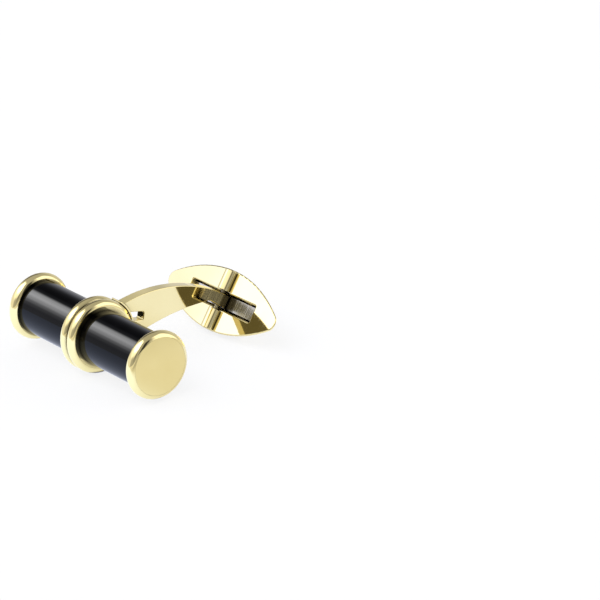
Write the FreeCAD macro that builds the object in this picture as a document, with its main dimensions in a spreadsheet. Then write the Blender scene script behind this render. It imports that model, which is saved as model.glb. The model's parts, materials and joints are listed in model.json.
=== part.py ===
import FreeCAD, Part
import math
import os
import Sketcher
from FreeCAD import Rotation, Vector

# A swivel-back cufflink: an onyx bar with end caps and a beaded band, an arched post, and an oval toggle on a
# sprung hinge. Lengths are in millimetres, angles in degrees. X runs along the bar, Y from the bar to the toggle, and
# Z up from the table, which the band and the toggle's dome rest on.

SIZES = [
    # bar
    ("bar_y", "-7.394"),
    ("rod_radius", "0.8"),
    ("solder_gap", "0.01"),
    ("onyx_radius", "2.85"),
    ("onyx_length", "8.51"),
    ("onyx_bore_gap", "0.08"),
    ("sleeve_width", "2.33"),
    ("sleeve_wall", "0.34"),
    ("bead_height", "0.656"),
    ("bead_gap", "0.02"),
    ("cap_thickness", "1.235"),
    ("cap_wall", "0.225"),
    ("cap_bead_height", "0.478"),
    ("disc_wall", "0.15"),
    ("disc_thickness", "0.55"),
    ("disc_bevel", "0.005"),
    # post
    ("saddle_thickness", "0.2"),
    ("saddle_width", "1.7"),
    ("saddle_top_angle", "48"),
    ("saddle_low_angle", "28"),
    ("saddle_edge", "0.06"),
    ("post_thickness", "1.15"),
    ("post_edge", "0.08"),
    ("foot_top_angle", "40.2"),
    ("foot_low_angle", "18.8"),
    ("post_top_radius", "15.9"),
    ("post_low_radius", "26"),
    ("knuckle_top_gap", "0.2"),
    ("knuckle_low_gap", "0.24"),
    ("neck_back", "1.705"),
    ("neck_down", "0.47"),
    ("window_angle", "14.2"),
    ("window_slope", "11.8"),
    ("window_length", "1.55"),
    ("window_height", "0.93"),
    ("window_corner", "0.2"),
    # hinge
    ("hinge_reach", "15.433"),
    ("hinge_drop", "0.532"),
    ("toggle_tilt", "33.76"),
    ("pin_radius", "0.3"),
    ("pin_running_gap", "0.03"),
    ("axis_height", "0.05"),
    ("barrel_radius", "0.78"),
    ("barrel_inset", "0.12"),
    ("barrel_edge", "0.05"),
    # toggle
    ("half_length", "9.02"),
    ("half_width", "3.33"),
    ("tip_radius", "0.95"),
    ("rim_thickness", "0.15"),
    ("plate_thickness", "0.6"),
    ("plate_edge", "0.13"),
    ("slot_width", "1.8"),
    ("slot_corner", "0.15"),
    ("slot_edge", "0.17"),
    ("back_height", "2.876"),
    ("dome_wall", "0.3"),
    # spring
    ("blade_width", "1.4"),
    ("blade_thickness", "0.2"),
    ("blade_hold", "0.45"),
    ("blade_side_gap", "0.03"),
    ("cam_gap", "0.12"),
    ("keeper_wall", "0.18"),
    ("keeper_end", "0.08"),
    ("keeper_floor", "0.22"),
]

# The part of the toggle's length that its slot takes up.
SLOT_SHARE = 0.593

DERIVED = [
    ("sleeve_radius", "=onyx_radius + sleeve_wall"),
    ("band_crown", "=sleeve_radius + bead_height"),
    ("bar_z", "=band_crown"),
    ("bead_width", "=(sleeve_width - 2 * bead_gap) / 2"),
    ("bead_rise", "=bead_height - solder_gap"),
    ("cap_edge_radius", "=onyx_radius + cap_wall"),
    ("disc_radius", "=onyx_radius + disc_wall"),
    ("cap_base", "=(cap_edge_radius + disc_radius + solder_gap) / 2"),
    ("cap_start", "=sleeve_width / 2 + onyx_length + 2 * solder_gap"),
    ("cap_end", "=cap_start + cap_thickness"),
    ("disc_start", "=cap_end - disc_thickness"),
    ("saddle_radius", "=band_crown + solder_gap"),
    ("foot_radius", "=saddle_radius + saddle_thickness + solder_gap"),
    ("cam_reach", "=axis_height + plate_thickness - cam_gap"),
    ("knuckle_up", "=slot_width / 2 - knuckle_top_gap"),
    ("knuckle_down", "=slot_width / 2 - knuckle_low_gap"),
    ("pin_bed", "=pin_radius + solder_gap"),
    ("barrel_base", "=solder_gap - axis_height"),
    ("barrel_foot", "=sqrt(barrel_radius ^ 2 - barrel_base ^ 2)"),
    ("barrel_mouth", "=sqrt(pin_bed ^ 2 - barrel_base ^ 2)"),
    ("barrel_end", "=half_width - barrel_inset"),
    ("barrel_start", "=slot_width / 2 + slot_edge"),
    ("slot_half_length", "=half_length * %g" % SLOT_SHARE),
    ("under_plate", "=axis_height + plate_thickness + solder_gap"),
    ("plate_share", "=(plate_thickness - rim_thickness) / back_height"),
    ("dome_height", "=(1 - plate_share) * back_height"),
    ("cavity_scale", "=1 - dome_wall / half_width"),
    ("under_blade", "=under_plate + blade_thickness + solder_gap"),
    ("blade_groove", "=blade_width / 2 + blade_side_gap"),
    ("keeper_half_width", "=blade_groove + keeper_wall"),
    ("keeper_length", "=blade_hold + keeper_end"),
]

# Where the dome's ovals lie, as shares of the way from the plate to the crown.
DOME_STEPS = (0, 0.2, 0.45, 0.7, 0.88, 0.98)


def oval(name, length, width):
    """Sheet rows for a pointed oval, two long arcs joined by round tips, from its half length and half width."""
    rows = [
        ("oval_length", "=" + length),
        ("oval_width", "=" + width),
        ("oval_tip", "=tip_radius * oval_width / half_width"),
        ("oval_side", "=((oval_length - oval_tip) ^ 2 + oval_width ^ 2 - oval_tip ^ 2)"
                      " / (2 * (oval_width - oval_tip))"),
        ("oval_x", "=oval_side * (oval_length - oval_tip) / (oval_side - oval_tip)"),
        ("oval_y", "=(oval_side - oval_width) * oval_tip / (oval_side - oval_tip)"),
    ]
    return [(key.replace("oval", name), text.replace("oval", name)) for key, text in rows]


# The toggle's back narrows from the rim to the crown: fast toward the tips, and slowly toward the long sides.
OVALS = oval("rim", "half_length", "half_width")
OVALS += oval("under", "half_length * sqrt(1 - plate_share)", "half_width * sqrt(1 - plate_share ^ 2)")
for number, step in enumerate(DOME_STEPS):
    share = "(plate_share + (1 - plate_share) * %g)" % step
    outside, inside = "dome%d" % number, "cavity%d" % number
    OVALS += oval(outside, "half_length * sqrt(1 - %s)" % share, "half_width * sqrt(1 - %s ^ 2)" % share)
    OVALS += oval(inside, "cavity_scale * %s_length" % outside, "cavity_scale * %s_width" % outside)
ROWS = SIZES + DERIVED + OVALS

# Points nearer than this count as the same point.
TOUCHING = 1e-5

doc = FreeCAD.newDocument("cufflink")
sheet = doc.addObject("Spreadsheet::Sheet", "sizes")
for row, (name, text) in enumerate(ROWS, 1):
    sheet.set("A%d" % row, name)
    sheet.set("B%d" % row, text)
    sheet.setAlias("B%d" % row, name)
doc.recompute()

NAMES = {name for name, text in ROWS}


def bound(formula):
    """The formula with each size's name pointed at the sheet."""
    out = []
    word = ""
    for char in formula + " ":
        if char.isalnum() or char == "_":
            word += char
            continue
        out.append("sizes." + word if word in NAMES else word)
        out.append(char)
        word = ""
    return "".join(out).strip()


def value(formula):
    result = sheet.evalExpression(bound(formula))
    return float(getattr(result, "Value", result))


def new_body(label):
    body = doc.addObject("PartDesign::Body", label)
    body.Label = label
    return body


def place_on_bar(body):
    body.setExpression("Placement.Base.y", bound("bar_y"))
    body.setExpression("Placement.Base.z", bound("bar_z"))


def place_on_hinge(body):
    """Local x along the bar, y along the hinge pin, z from the toggle toward the bar, origin on the pin."""
    body.Placement.Rotation = Rotation(Vector(1, 0, 0), 90 - value("toggle_tilt"))
    body.setExpression("Placement.Base.y", bound("bar_y + hinge_reach"))
    body.setExpression("Placement.Base.z", bound("bar_z - hinge_drop"))
    body.setExpression("Placement.Rotation.Angle", bound("90 - toggle_tilt"))


def new_sketch(body, plane, name, offset="0"):
    sketch = body.newObject("Sketcher::SketchObject", name)
    support = [item for item in body.Origin.OriginFeatures if item.Role == plane + "_Plane"]
    sketch.AttachmentSupport = [(support[0], "")]
    sketch.MapMode = "FlatFace"
    sketch.setExpression("AttachmentOffset.Base.z", bound(offset))
    return sketch


def drive(sketch, constraint, formula):
    index = sketch.addConstraint(constraint)
    sketch.setExpression("Constraints[%d]" % index, bound(formula))


def arc_points(start, end, radius, bulge):
    """Start, middle and end of an arc that bulges toward the given point."""
    chord = end - start
    half = chord.Length / 2
    middle = (start + end) * 0.5
    across = Vector(-chord.y, chord.x, 0).normalize()
    if (bulge - middle).dot(across) < 0:
        across = across * -1
    depth = math.sqrt(max(radius * radius - half * half, 0.0))
    far = (bulge - middle).dot(across) > radius
    rise = radius + depth if far else radius - depth
    return start, middle + across * rise, end


def closed_loop(sketch, corners):
    """Corners are (x, y) or (x, y, radius, (bulge_x, bulge_y)); a radius makes the next side an arc."""
    spots = [Vector(value(c[0]), value(c[1]), 0) for c in corners]
    ends = []
    for i, corner in enumerate(corners):
        start, end = spots[i], spots[(i + 1) % len(spots)]
        if len(corner) == 2:
            geo = sketch.addGeometry(Part.LineSegment(start, end), False)
        else:
            bulge = Vector(value(corner[3][0]), value(corner[3][1]), 0)
            geo = sketch.addGeometry(Part.Arc(*arc_points(start, end, value(corner[2]), bulge)), False)
        first = 1 if (sketch.getPoint(geo, 1) - start).Length < (sketch.getPoint(geo, 2) - start).Length else 2
        ends.append((geo, first, 3 - first))
    for i, corner in enumerate(corners):
        geo, first, last = ends[i]
        after = ends[(i + 1) % len(ends)]
        sketch.addConstraint(Sketcher.Constraint("Coincident", geo, last, after[0], after[1]))
        drive(sketch, Sketcher.Constraint("DistanceX", -1, 1, geo, first, spots[i].x), corner[0])
        drive(sketch, Sketcher.Constraint("DistanceY", -1, 1, geo, first, spots[i].y), corner[1])
        if len(corner) > 2:
            drive(sketch, Sketcher.Constraint("Radius", geo, value(corner[2])), corner[2])


def circle(sketch, radius):
    """A circle about the sketch's origin."""
    geo = sketch.addGeometry(Part.Circle(Vector(0, 0, 0), Vector(0, 0, 1), value(radius)), False)
    sketch.addConstraint(Sketcher.Constraint("Coincident", geo, 3, -1, 1))
    drive(sketch, Sketcher.Constraint("Radius", geo, value(radius)), radius)


def pad(body, sketch, length, name):
    feature = body.newObject("PartDesign::Pad", name)
    feature.Profile = sketch
    feature.setExpression("Length", bound(length))
    doc.recompute()
    return feature


def pocket(body, sketch, depth, name):
    feature = body.newObject("PartDesign::Pocket", name)
    feature.Profile = sketch
    feature.setExpression("Length", bound(depth))
    doc.recompute()
    return feature


def round_edges(body, feature, radius, name, wanted=None):
    """The wanted edges of the feature, or all of them, eased by a fillet."""
    fillet = body.newObject("PartDesign::Fillet", name)
    edges = feature.Shape.Edges
    chosen = ["Edge%d" % (i + 1) for i, edge in enumerate(edges) if wanted and wanted(edge)]
    fillet.Base = (feature, chosen)
    fillet.UseAllEdges = wanted is None
    fillet.setExpression("Radius", bound(radius))
    doc.recompute()
    return fillet


def turned(label, corners):
    """A piece turned about the bar's axis from corners given as (along the bar, radius)."""
    body = new_body(label)
    sketch = new_sketch(body, "XY", label + "_profile")
    closed_loop(sketch, corners)
    feature = body.newObject("PartDesign::Revolution", label + "_turning")
    feature.Profile = sketch
    feature.ReferenceAxis = (sketch, ["H_Axis"])
    feature.Angle = 360
    place_on_bar(body)
    doc.recompute()
    return body


def rectangle(x0, y0, x1, y1):
    return [(x0, y0), (x1, y0), (x1, y1), (x0, y1)]


def on_post(along, up):
    """A point of the post's plane given from the hinge, along the toggle's depth and along the pin."""
    return ("hinge_reach + (%s) * cos(toggle_tilt) + (%s) * sin(toggle_tilt)" % (along, up),
            "(%s) * cos(toggle_tilt) - (%s) * sin(toggle_tilt) - hinge_drop" % (up, along))


def around_bar(radius, angle):
    return "(%s) * cos(%s)" % (radius, angle), "(%s) * sin(%s)" % (radius, angle)


def navette(sketch, name):
    """The toggle's pointed oval, drawn from the named rows of the sheet."""
    x, y, side, tip = [name + end for end in ("_x", "_y", "_side", "_tip")]
    top, end = name + "_width", name + "_length"
    closed_loop(sketch, [
        (x, y, side, ("0", top)),
        ("-" + x, y, tip, ("-" + end, "0")),
        ("-" + x, "-" + y, side, ("0", "-" + top)),
        (x, "-" + y, tip, (end, "0")),
    ])


def loft(body, kind, name, layers):
    """A loft through named ovals, each given with its depth below the pin's axis."""
    sketches = []
    for number, (outline, depth) in enumerate(layers):
        sketch = new_sketch(body, "XY", "%s_%d" % (name, number), "-(%s)" % depth)
        navette(sketch, outline)
        sketches.append(sketch)
    doc.recompute()
    feature = body.newObject(kind, name)
    feature.Profile = sketches[0]
    feature.Sections = sketches[1:]
    doc.recompute()
    return feature


# The bar: a rod through two onyx cylinders, with a sleeve between them and a cap on each end.
turned("core_rod", rectangle("-(disc_start - solder_gap)", "0", "disc_start - solder_gap", "rod_radius"))
turned("centre_sleeve", rectangle("-sleeve_width / 2", "rod_radius + solder_gap",
                                  "sleeve_width / 2", "sleeve_radius"))

for end, sign in (("front", ""), ("rear", "-")):
    turned("onyx_" + end, rectangle(
        sign + "(sleeve_width / 2 + solder_gap)", "rod_radius + onyx_bore_gap",
        sign + "(cap_start - solder_gap)", "onyx_radius"))
    turned("band_bead_" + end, [
        (sign + "bead_gap / 2", "sleeve_radius + solder_gap"),
        (sign + "(bead_gap / 2 + bead_width)", "sleeve_radius + solder_gap",
         "(bead_width ^ 2 / 4 + bead_rise ^ 2) / (2 * bead_rise)",
         (sign + "(bead_gap + bead_width) / 2", "band_crown")),
    ])
    turned("cap_%s_cup" % end, [
        (sign + "cap_start", "rod_radius + solder_gap"),
        (sign + "cap_start", "cap_edge_radius",
         "(cap_thickness ^ 2 / 4 + cap_bead_height ^ 2) / (2 * cap_bead_height)",
         (sign + "(cap_start + cap_end) / 2", "cap_base + cap_bead_height")),
        (sign + "cap_end", "disc_radius + solder_gap"),
        (sign + "(disc_start - solder_gap)", "disc_radius + solder_gap"),
        (sign + "(disc_start - solder_gap)", "rod_radius + solder_gap"),
    ])
    turned("cap_%s_disc" % end, [
        (sign + "disc_start", "0"),
        (sign + "disc_start", "disc_radius"),
        (sign + "(cap_end - disc_bevel)", "disc_radius"),
        (sign + "cap_end", "disc_radius - disc_bevel"),
        (sign + "cap_end", "0"),
    ])

# The saddle that carries the post on the band.
saddle = new_body("post_saddle")
sketch = new_sketch(saddle, "YZ", "saddle_section", "-saddle_width / 2")
outer = "(saddle_radius + saddle_thickness)"
closed_loop(sketch, [
    around_bar("saddle_radius", "-saddle_low_angle") + ("saddle_radius", ("saddle_radius", "0")),
    around_bar("saddle_radius", "saddle_top_angle"),
    around_bar(outer, "saddle_top_angle") + (outer, (outer, "0")),
    around_bar(outer, "-saddle_low_angle"),
])
blank = pad(saddle, sketch, "saddle_width", "saddle_plate")
round_edges(saddle, blank, "saddle_edge", "saddle_rounding")
place_on_bar(saddle)

# The arched post, with a window at its foot and a cam-ended knuckle in the toggle.
post = new_body("post_arm")
sketch = new_sketch(post, "YZ", "post_side", "-post_thickness / 2")
above_post = ("hinge_reach / 2", "band_crown")
closed_loop(sketch, [
    around_bar("foot_radius", "foot_top_angle") + ("post_top_radius", above_post),
    on_post("cam_reach", "knuckle_up"),
    on_post("cam_reach", "-knuckle_down"),
    on_post("-neck_back", "-neck_down") + ("post_low_radius", above_post),
    around_bar("foot_radius", "-foot_low_angle") + ("foot_radius", ("foot_radius", "0")),
])
pad(post, sketch, "post_thickness", "post_blank")


def in_window(along, up):
    start_y, start_z = around_bar("foot_radius", "window_angle")
    return ("%s + (%s) * cos(window_slope) + (%s) * sin(window_slope)" % (start_y, along, up),
            "%s - (%s) * sin(window_slope) + (%s) * cos(window_slope)" % (start_z, along, up))


window = new_sketch(post, "YZ", "window_side", "post_thickness / 2")
half = "window_height / 2"
closed_loop(window, [
    in_window("-window_length / 2", "-" + half),
    in_window("window_length - window_corner", "-" + half)
    + ("window_corner", in_window("window_length", "-" + half)),
    in_window("window_length", "window_corner - " + half),
    in_window("window_length", half + " - window_corner")
    + ("window_corner", in_window("window_length", half)),
    in_window("window_length - window_corner", half),
    in_window("-window_length / 2", half),
])
cut = pocket(post, window, "post_thickness", "post_window")
round_edges(post, cut, "post_edge", "post_rounding")

eye = post.newObject("PartDesign::SubtractiveCylinder", "pin_eye")
eye.setExpression("Radius", bound("pin_radius + pin_running_gap"))
eye.setExpression("Height", bound("2 * slot_width"))
eye.Placement.Rotation = Rotation(Vector(1, 0, 0), -value("toggle_tilt"))
eye_y, eye_z = on_post("0", "-slot_width")
eye.setExpression("Placement.Base.y", bound(eye_y))
eye.setExpression("Placement.Base.z", bound(eye_z))
eye.setExpression("Placement.Rotation.Angle", bound("-toggle_tilt"))
place_on_bar(post)
doc.recompute()

# The hinge: a pin bedded in the toggle's inner face, under two half-round barrels.
pin = new_body("hinge_pin")
sketch = new_sketch(pin, "XZ", "pin_section", "-barrel_end")
circle(sketch, "pin_radius")
pad(pin, sketch, "2 * barrel_end", "pin_length")
place_on_hinge(pin)

for label, far_end in (("barrel_upper", "-barrel_end"), ("barrel_lower", "barrel_start")):
    barrel = new_body(label)
    sketch = new_sketch(barrel, "XZ", label + "_section", far_end)
    closed_loop(sketch, [
        ("barrel_foot", "barrel_base", "barrel_radius", ("0", "barrel_radius")),
        ("-barrel_foot", "barrel_base"),
        ("-barrel_mouth", "barrel_base", "pin_bed", ("0", "pin_bed")),
        ("barrel_mouth", "barrel_base"),
    ])
    tube = pad(barrel, sketch, "barrel_end - barrel_start", label + "_length")
    round_edges(barrel, tube, "barrel_edge", label + "_rounding")
    place_on_hinge(barrel)

# The toggle: a slotted plate with a thin rim, over a hollow dome.
plate = new_body("toggle_plate")
sketch = new_sketch(plate, "XY", "plate_outline", "-(axis_height + rim_thickness)")
navette(sketch, "rim")
pad(plate, sketch, "rim_thickness", "plate_rim")
loft(plate, "PartDesign::AdditiveLoft", "plate_underside", [
    ("rim", "axis_height + rim_thickness"),
    ("under", "axis_height + plate_thickness"),
])
slot = new_sketch(plate, "XY", "slot_outline", "-axis_height")
end_x, end_y = "slot_half_length", "slot_width / 2"
round_x, round_y = "(slot_half_length - slot_corner)", "(slot_width / 2 - slot_corner)"
closed_loop(slot, [
    ("-" + round_x, "-" + end_y),
    (round_x, "-" + end_y, "slot_corner", (end_x, "-" + end_y)),
    (end_x, "-" + round_y),
    (end_x, round_y, "slot_corner", (end_x, end_y)),
    (round_x, end_y),
    ("-" + round_x, end_y, "slot_corner", ("-" + end_x, end_y)),
    ("-" + end_x, round_y),
    ("-" + end_x, "-" + round_y, "slot_corner", ("-" + end_x, "-" + end_y)),
])
cut = pocket(plate, slot, "plate_thickness", "plate_slot")


def on_inner_face(edge):
    height = -value("axis_height")
    spots = [edge.valueAt(at) for at in (edge.FirstParameter, edge.LastParameter)]
    return all(abs(spot.z - height) < TOUCHING for spot in spots)


def beside_slot(edge):
    middle = edge.valueAt((edge.FirstParameter + edge.LastParameter) / 2)
    within = abs(middle.x) < value(end_x) + TOUCHING and abs(middle.y) < value(end_y) + TOUCHING
    return on_inner_face(edge) and within


def round_outline(edge):
    return on_inner_face(edge) and not beside_slot(edge)


eased = round_edges(plate, cut, "slot_edge", "slot_rounding", beside_slot)
round_edges(plate, eased, "plate_edge", "plate_rounding", round_outline)
bed = plate.newObject("PartDesign::SubtractiveCylinder", "pin_bed")
bed.setExpression("Radius", bound("pin_bed"))
bed.setExpression("Height", bound("2 * (barrel_end + solder_gap)"))
bed.Placement.Rotation = Rotation(Vector(1, 0, 0), -90)
bed.setExpression("Placement.Base.y", bound("-(barrel_end + solder_gap)"))
place_on_hinge(plate)

shell = new_body("toggle_shell")
for name, kind, height in (("dome", "PartDesign::AdditiveLoft", "dome_height"),
                           ("cavity", "PartDesign::SubtractiveLoft", "(dome_height - dome_wall)")):
    loft(shell, kind, name + "_loft", [
        ("%s%d" % (name, number), "under_plate + %s * %g" % (height, step))
        for number, step in enumerate(DOME_STEPS)
    ])
place_on_hinge(shell)

# The flat spring under the slot and the two keepers that hold its ends against the plate.
blade = new_body("spring_blade")
sketch = new_sketch(blade, "XY", "blade_outline", "-(under_plate + blade_thickness)")
closed_loop(sketch, rectangle("-(slot_half_length + blade_hold)", "-blade_width / 2",
                              "slot_half_length + blade_hold", "blade_width / 2"))
pad(blade, sketch, "blade_thickness", "blade_strip")
place_on_hinge(blade)

for end, near_end in (("front", "slot_half_length"), ("rear", "-(slot_half_length + keeper_length)")):
    keeper = new_body("spring_keeper_" + end)
    sketch = new_sketch(keeper, "YZ", "keeper_%s_section" % end, near_end)
    closed_loop(sketch, [
        ("-keeper_half_width", "-(under_blade + keeper_floor)"),
        ("keeper_half_width", "-(under_blade + keeper_floor)"),
        ("keeper_half_width", "-under_plate"),
        ("blade_groove", "-under_plate"),
        ("blade_groove", "-under_blade"),
        ("-blade_groove", "-under_blade"),
        ("-blade_groove", "-under_plate"),
        ("-keeper_half_width", "-under_plate"),
    ])
    pad(keeper, sketch, "keeper_length", "keeper_%s_block" % end)
    place_on_hinge(keeper)

doc.recompute()

os.makedirs("parts", exist_ok=True)
bodies = [obj for obj in doc.Objects if obj.TypeId == "PartDesign::Body"]
for obj in doc.Objects:
    if "Invalid" in obj.State or "Error" in obj.State:
        raise RuntimeError("%s did not build: %s" % (obj.Name, obj.State))
for body in bodies:
    shape = body.Shape
    if shape.isNull() or not shape.isValid() or len(shape.Solids) != 1:
        raise RuntimeError("%s is not one valid solid" % body.Label)
for body in bodies:
    body.Shape.exportStep("parts/%s.step" % body.Label)
    box = body.Shape.BoundBox
    print("%-20s %9.4f mm3  x %.3f %.3f  y %.3f %.3f  z %.3f %.3f" % (
        body.Label, body.Shape.Volume, box.XMin, box.XMax, box.YMin, box.YMax, box.ZMin, box.ZMax))
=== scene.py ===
import json
import math

import bpy
from mathutils import Matrix, Vector


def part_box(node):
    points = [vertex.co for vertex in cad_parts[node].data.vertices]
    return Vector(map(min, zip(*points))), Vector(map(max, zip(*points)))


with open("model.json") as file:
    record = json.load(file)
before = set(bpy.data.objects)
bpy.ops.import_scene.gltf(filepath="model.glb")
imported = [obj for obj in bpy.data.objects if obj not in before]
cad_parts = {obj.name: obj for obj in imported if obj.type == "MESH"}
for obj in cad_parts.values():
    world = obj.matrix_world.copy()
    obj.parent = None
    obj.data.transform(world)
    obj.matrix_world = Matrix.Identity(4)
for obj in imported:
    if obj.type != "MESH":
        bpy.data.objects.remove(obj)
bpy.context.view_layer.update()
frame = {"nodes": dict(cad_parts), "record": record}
nodes = frame["nodes"]
behaviour = frame["record"]["behaviour"]

MM = 0.001
WHITE = (1, 1, 1, 1)
# Noise seldom leaves this range.
NOISE_LOW, NOISE_HIGH = 0.3, 0.7


class Graph:
    """A node tree, with short ways to add to it. A value is a number, a tuple or another node's output."""

    def __init__(self, tree):
        self.nodes = tree.nodes
        self.links = tree.links

    def feed(self, socket, value):
        if isinstance(value, bpy.types.NodeSocket):
            self.links.new(value, socket)
        else:
            socket.default_value = value

    def math(self, operation, *values):
        node = self.nodes.new("ShaderNodeMath")
        node.operation = operation
        for socket, value in zip(node.inputs, values):
            self.feed(socket, value)
        return node.outputs["Value"]

    def vector_math(self, operation, *values):
        node = self.nodes.new("ShaderNodeVectorMath")
        node.operation = operation
        for socket, value in zip(node.inputs, values):
            self.feed(socket, value)
        return node.outputs

    def split(self, vector):
        """The X, Y and Z of a vector."""
        node = self.nodes.new("ShaderNodeSeparateXYZ")
        self.feed(node.inputs["Vector"], vector)
        return node.outputs

    def spread(self, value, start, end, low, high, interpolation="LINEAR"):
        """The value's range from start to end spread over low to high."""
        node = self.nodes.new("ShaderNodeMapRange")
        node.interpolation_type = interpolation
        given = {"Value": value, "From Min": start, "From Max": end, "To Min": low, "To Max": high}
        for name, number in given.items():
            self.feed(node.inputs[name], number)
        return node.outputs["Result"]

    def near(self, value, middle, half, soft):
        """1 where the value is within half of the middle, falling softly to 0."""
        away = self.math("ABSOLUTE", self.math("SUBTRACT", value, middle))
        return self.spread(away, half - soft, half + soft, 1, 0, "SMOOTHSTEP")

    def blend(self, factor, low, high, kind="RGBA"):
        """A colour, or a number of kind FLOAT, that goes from low to high."""
        node = self.nodes.new("ShaderNodeMix")
        node.data_type = kind
        for name, value in (("Factor", factor), ("A", low), ("B", high)):
            self.feed(node.inputs[name], value)
        return node.outputs["Result"]

    def blend_shaders(self, factor, low, high):
        node = self.nodes.new("ShaderNodeMixShader")
        for socket, value in zip(node.inputs, (factor, low, high)):
            self.feed(socket, value)
        return node.outputs["Shader"]

    def ray_kinds(self):
        return self.nodes.new("ShaderNodeLightPath").outputs


class Surface(Graph):
    """The node tree of a new material."""

    def __init__(self, name):
        self.material = bpy.data.materials.new(name)
        self.material.use_nodes = True
        super().__init__(self.material.node_tree)
        self.shader = self.nodes["Principled BSDF"]
        self.place = self.nodes.new("ShaderNodeTexCoord").outputs["Object"]

    def drive(self, **values):
        """Sets or links the shader's sockets. A name has _ for each space."""
        for name, value in values.items():
            self.feed(self.shader.inputs[name.replace("_", " ")], value)

    def noise(self, per_mm, detail=3.0, stretch=(1, 1, 1)):
        """Noise with so many features to a millimetre, drawn out along an axis by a small stretch value."""
        scaled = self.nodes.new("ShaderNodeMapping")
        scaled.inputs["Scale"].default_value = [per_mm / MM * share for share in stretch]
        self.feed(scaled.inputs["Vector"], self.place)
        cloud = self.nodes.new("ShaderNodeTexNoise")
        cloud.inputs["Scale"].default_value = 1
        cloud.inputs["Detail"].default_value = detail
        self.feed(cloud.inputs["Vector"], scaled.outputs["Vector"])
        return cloud.outputs["Fac"]

    def vary(self, noise, low=0, high=1):
        return self.spread(noise, NOISE_LOW, NOISE_HIGH, low, high)

    def bump(self, height, depth):
        node = self.nodes.new("ShaderNodeBump")
        node.inputs["Distance"].default_value = depth
        self.feed(node.inputs["Height"], height)
        self.drive(Normal=node.outputs["Normal"])


GOLD, WARM_GOLD = (0.80, 0.678, 0.325, 1), (0.775, 0.65, 0.30, 1)
GOLD_RIPPLE = 0.0015 * MM
# Painted shade: crevices and corners of the gold turn to this dark brown.
PAINTED_CREVICE_SHADE = (0.04, 0.03, 0.02, 1)
CREVICE_REACH = 0.6 * MM
CREVICE_RAYS = 8
# The share of open rays at which the painted crevice shade is darkest, and at which it ends.
CREVICE_SHUT, CREVICE_OPEN = 0.45, 0.9


def gold():
    """Mirror-polished yellow gold, with ripples, hairlines and warmer patches, and painted shade darkening
    its crevices.
    """
    look = Surface("polished_gold")
    polished = look.blend(look.vary(look.noise(per_mm=0.35)), GOLD, WARM_GOLD)
    # Painted shade: ambient occlusion darkens the gold where little is open around it.
    crevice_shade = look.nodes.new("ShaderNodeAmbientOcclusion")
    crevice_shade.samples = CREVICE_RAYS
    crevice_shade.inputs["Distance"].default_value = CREVICE_REACH
    unshaded = look.spread(crevice_shade.outputs["AO"], CREVICE_SHUT, CREVICE_OPEN, 0, 1)
    hairlines = look.noise(per_mm=9, detail=2, stretch=(1, 0.15, 0.15))
    look.drive(Metallic=1, Base_Color=look.blend(unshaded, PAINTED_CREVICE_SHADE, polished),
               Roughness=look.vary(hairlines, low=0.03, high=0.07))
    look.bump(look.noise(per_mm=0.7, detail=1), GOLD_RIPPLE)
    return look.material


ONYX_BLACK, CLOUDED_BLACK = (0.0003, 0.0003, 0.0004, 1), (0.001, 0.001, 0.0014, 1)
ONYX_IOR = 1.18


def onyx():
    """High-gloss black stone, with faint clouding under the polish."""
    look = Surface("black_onyx")
    clouds = look.vary(look.noise(per_mm=0.5, detail=4))
    look.drive(IOR=ONYX_IOR, Base_Color=look.blend(clouds, ONYX_BLACK, CLOUDED_BLACK),
               Roughness=look.vary(look.noise(per_mm=5), low=0.01, high=0.03))
    return look.material


STEEL_DARK, STEEL_LIGHT = (0.50, 0.485, 0.465, 1), (0.64, 0.625, 0.60, 1)
# Painted shade: the blade turns to this dark brown under the post's end.
STEEL_PAINTED_SHADE = (0.15, 0.135, 0.105, 1)
STEEL_BRUSH_DEPTH = 0.002 * MM
POST_SHADE_HALF, POST_SHADE_SOFT = 1.75 * MM, 0.25 * MM


def steel():
    """Satin spring steel, brushed across the blade, with painted shade darkening it under the post's end.
    """
    look = Surface("spring_steel")
    brush = look.noise(per_mm=14, stretch=(1, 0.02, 0.02))
    satin = look.blend(look.vary(brush), STEEL_DARK, STEEL_LIGHT)
    # Painted shade: a band across the blade around X = 0, under the post's end.
    post_shade = look.near(look.split(look.place)["X"], 0, POST_SHADE_HALF, POST_SHADE_SOFT)
    look.drive(Metallic=1, Base_Color=look.blend(post_shade, satin, STEEL_PAINTED_SHADE),
               Roughness=look.vary(brush, low=0.16, high=0.3))
    look.bump(brush, STEEL_BRUSH_DEPTH)
    return look.material


looks = {"gold": gold(), "onyx": onyx(), "spring_steel": steel()}
for part in frame["record"]["subparts"]:
    mesh = nodes[part["node"]].data
    mesh.materials.clear()
    mesh.materials.append(looks[part["material_slot"]])

# Each panel of the studio: the azimuth from +X toward +Y and the elevation of its middle, its half width,
# half height and softness, all in degrees, and the light that it adds. One with a minus is a dark card.
PANELS = [
    (264, 57, 57, 17, 6, 2.45),
    (254, 34, 64, 9, 8, 0.9),
    (228, 8, 42, 22, 12, 0.55),
    (46, 22, 21, 25, 7, 1.25),
    (105, 10, 45, 20, 12, 0.25),
    (5, 20, 10, 22, 4, -0.5),
    (154, 32, 20, 15, 8, -0.43),
    (322, 17, 14, 12, 6, -0.15),
    (322, 22, 6, 6, 2, -0.24),
]
BASE_LEVEL = 0.55
LEAST_LEVEL = 0.02
STUDIO_TONE = (0.97, 0.985, 1.08, 1)


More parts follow.
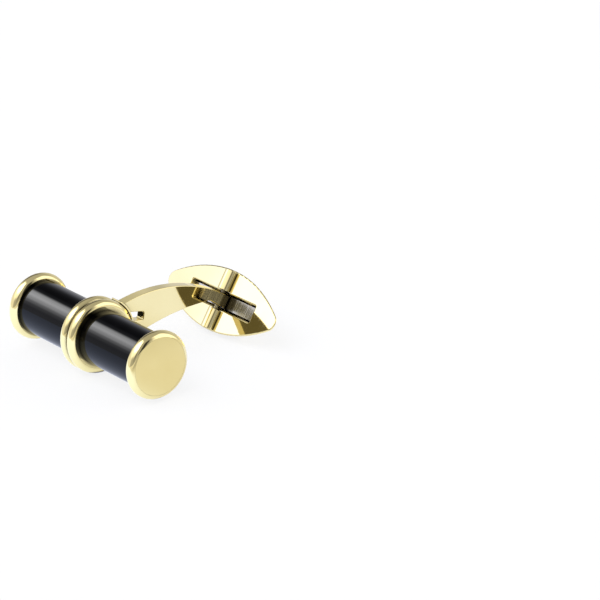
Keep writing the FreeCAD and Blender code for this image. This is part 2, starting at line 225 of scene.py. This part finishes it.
def studio():
    """A world of light panels, which the camera itself sees as plain white."""
    world = bpy.data.worlds.new("studio")
    bpy.context.scene.world = world
    world.use_nodes = True
    graph = Graph(world.node_tree)
    where = graph.nodes.new("ShaderNodeTexCoord").outputs["Generated"]

    def along(direction):
        return graph.vector_math("DOT_PRODUCT", where, direction)["Value"]

    height = graph.math("ARCSINE", along((0, 0, 1)))
    level = BASE_LEVEL
    for *angles, light in PANELS:
        azimuth, elevation, width, tall, soft = map(math.radians, angles)
        ahead = (math.cos(azimuth), math.sin(azimuth), 0)
        aside = (-math.sin(azimuth), math.cos(azimuth), 0)
        turn = graph.math("ARCTAN2", along(aside), along(ahead))
        sides = graph.near(turn, 0, width, soft), graph.near(height, elevation, tall, soft)
        added = graph.math("MULTIPLY", graph.math("MULTIPLY", *sides), light)
        level = graph.math("ADD", added, level)
    level = graph.math("MAXIMUM", level, LEAST_LEVEL)
    to_camera = graph.ray_kinds()["Is Camera Ray"]
    background = graph.nodes["Background"]
    graph.feed(background.inputs["Strength"], graph.blend(to_camera, level, 1, "FLOAT"))
    graph.feed(background.inputs["Color"], graph.blend(to_camera, STUDIO_TONE, WHITE))


studio()

CAMERA_AT = Vector((231.92, -159.673, 119.51)) * MM
CAMERA_AIM = Vector((11.555, 9.524, 6.32)) * MM
CAMERA_ROLL = math.radians(-2.03)
CAMERA_LENS, CAMERA_SENSOR = 180, 36
CAMERA_NEAR = 0.01
TO_CAMERA = CAMERA_AT.normalized()


def mirrored(normal):
    """The direction that a face with this normal mirrors to the camera."""
    return 2 * TO_CAMERA.dot(normal) * normal - TO_CAMERA


def softbox(name, target, toward, up, distance, size, radiance, receivers, fade, tint=(1, 1, 1)):
    """An area light for the given nodes alone. Its face has the radiance times the fade, which is a list of
    places from 0 to 1 across the face with their levels."""
    data = bpy.data.lights.new(name, "AREA")
    data.shape = "RECTANGLE"
    data.size, data.size_y = size
    data.energy = radiance * math.pi * size[0] * size[1]
    data.color = tint
    obj = bpy.data.objects.new(name, data)
    bpy.context.scene.collection.objects.link(obj)
    back = toward.normalized()
    side = up.cross(back).normalized()
    turn = Matrix((side, back.cross(side), back)).transposed().to_4x4()
    obj.matrix_world = Matrix.Translation(target + back * distance) @ turn
    obj.visible_camera = False
    group = bpy.data.collections.new(name + "_receivers")
    for node in receivers:
        group.objects.link(nodes[node])
    obj.light_linking.receiver_collection = group
    data.use_nodes = True
    graph = Graph(data.node_tree)
    across = graph.nodes.new("ShaderNodeNewGeometry").outputs["Parametric"]
    ramp = graph.nodes.new("ShaderNodeValToRGB")
    graph.feed(ramp.inputs["Fac"], graph.split(across)["X"])
    ramp.color_ramp.interpolation = "EASE"
    stops = ramp.color_ramp.elements
    for spot, _ in fade[1:-1]:
        stops.new(spot)
    for stop, (spot, level) in zip(stops, fade):
        stop.position = spot
        stop.color = (level, level, level, 1)
    graph.feed(graph.nodes["Emission"].inputs["Strength"], ramp.outputs["Color"])


# The toggle's gold face mirrors a cool card beside the bar, which is brighter toward the camera.
hinge = behaviour["joints"][0]
PIVOT, PIN = Vector(hinge["pos_m"]), Vector(hinge["axis"])
PLATE_NORMAL = PIN.cross(Vector((1, 0, 0)))
softbox(
    "card", PIVOT, mirrored(PLATE_NORMAL), PIN,
    distance=60 * MM, size=(40 * MM, 24 * MM), radiance=1.7,
    receivers=[node for node in behaviour["bodies"]["toggle"] if node != "spring_blade"],
    fade=[(0, 0.4), (0.4, 0.45), (0.6, 1), (1, 1)],
    tint=(0.27, 0.4, 1),
)

# The top of the arched post mirrors a dimmer card behind the bar, which fades out toward the toggle.
CREST = Vector((0, 1.5, 8)) * MM
CREST_NORMAL = Vector((0, -0.21, 0.98))
softbox(
    "crest_card", CREST, mirrored(CREST_NORMAL), Vector((0, 0, 1)),
    distance=100 * MM, size=(80 * MM, 80 * MM), radiance=0.52,
    receivers=["post_arm"],
    fade=[(0, 0), (0.14, 0), (0.34, 1), (1, 1)],
)


def around_bar(angle):
    """The normal of the bar's side at an angle in degrees from +Y toward +Z."""
    return Vector((0, math.cos(math.radians(angle)), math.sin(math.radians(angle))))


# The onyx mirrors a long strip, brightest near its upper edge, along the bar.
BAR = (Vector(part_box("core_rod")[0]) + Vector(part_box("core_rod")[1])) / 2
STREAK_FROM, STREAK_TO = 117, 153
STRIP_DISTANCE, STRIP_LENGTH = 300 * MM, 90 * MM
first, last = mirrored(around_bar(STREAK_FROM)), mirrored(around_bar(STREAK_TO))
strip_width = 2 * STRIP_DISTANCE * math.tan(first.angle(last) / 2)
softbox(
    "strip", BAR, first + last, (first + last).cross(last - first),
    distance=STRIP_DISTANCE, size=(strip_width, STRIP_LENGTH), radiance=17.5,
    receivers=["onyx_front", "onyx_rear"],
    fade=[(0, 0), (0.2, 0.78), (0.34, 1), (0.52, 0.68), (0.68, 0.25), (0.82, 0.06), (1, 0)],
)

# What polished faces see of the table: white, to which each patch (middle x and y, half length, half width
# and softness in millimetres) adds its light. The bright patches are cool.
TABLE_PATCHES = [
    (-40, -61, 60, 52, 5, (0.4, 0.6, 1.15)),
    (12, 12, 8, 9, 4, (0.17, 0.26, 0.65)),
    (-70, 55, 55, 42, 8, (-0.4, -0.4, -0.4)),
    (80, -12, 52, 18, 10, (-0.5, -0.5, -0.5)),
]
TABLE_WHITE = (0.95, 0.95, 0.95, 1)
TABLE_HALF = 3.0
# The share of the table that the camera looks through, and that polished faces see as lit.
CLEAR_SHARE = 0.85


def floor():
    """A white table. The camera looks through most of it to the white world, so that a toggle turned down
    past the table's level still shows, and the rest of it takes the shadows."""
    mesh = bpy.data.meshes.new("floor")
    corners = [(-1, -1), (1, -1), (1, 1), (-1, 1)]
    mesh.from_pydata([(x * TABLE_HALF, y * TABLE_HALF, 0) for x, y in corners], [], [(0, 1, 2, 3)])
    obj = bpy.data.objects.new("floor", mesh)
    bpy.context.scene.collection.objects.link(obj)
    look = Surface("white_table")
    look.drive(Base_Color=TABLE_WHITE, Roughness=1, Specular_IOR_Level=0)
    spot = look.split(look.place)
    seen = (1, 1, 1)
    for *measures, light in TABLE_PATCHES:
        x, y, long, wide, soft = [measure * MM for measure in measures]
        sides = look.near(spot["X"], x, long, soft), look.near(spot["Y"], y, wide, soft)
        seen = look.vector_math("MULTIPLY_ADD", light, look.math("MULTIPLY", *sides), seen)["Vector"]
    glow = look.nodes.new("ShaderNodeEmission")
    look.feed(glow.inputs["Color"], seen)
    clear = look.nodes.new("ShaderNodeBsdfTransparent")
    rays = look.ray_kinds()
    backdrop = look.blend_shaders(rays["Is Camera Ray"], glow.outputs["Emission"], clear.outputs["BSDF"])
    seeing = look.math("MAXIMUM", rays["Is Camera Ray"], rays["Is Glossy Ray"])
    share = look.math("MULTIPLY", seeing, CLEAR_SHARE)
    surface = look.blend_shaders(share, look.shader.outputs["BSDF"], backdrop)
    look.feed(look.nodes["Material Output"].inputs["Surface"], surface)
    mesh.materials.append(look.material)


floor()


def camera():
    data = bpy.data.cameras.new("camera")
    data.lens, data.sensor_width = CAMERA_LENS, CAMERA_SENSOR
    data.clip_start = CAMERA_NEAR
    obj = bpy.data.objects.new("camera", data)
    bpy.context.scene.collection.objects.link(obj)
    turn = (CAMERA_AIM - CAMERA_AT).to_track_quat("-Z", "Y").to_matrix().to_4x4()
    obj.matrix_world = Matrix.Translation(CAMERA_AT) @ turn @ Matrix.Rotation(CAMERA_ROLL, 4, "Z")
    bpy.context.scene.camera = obj


camera()
bpy.context.scene.view_settings.view_transform = "Standard"
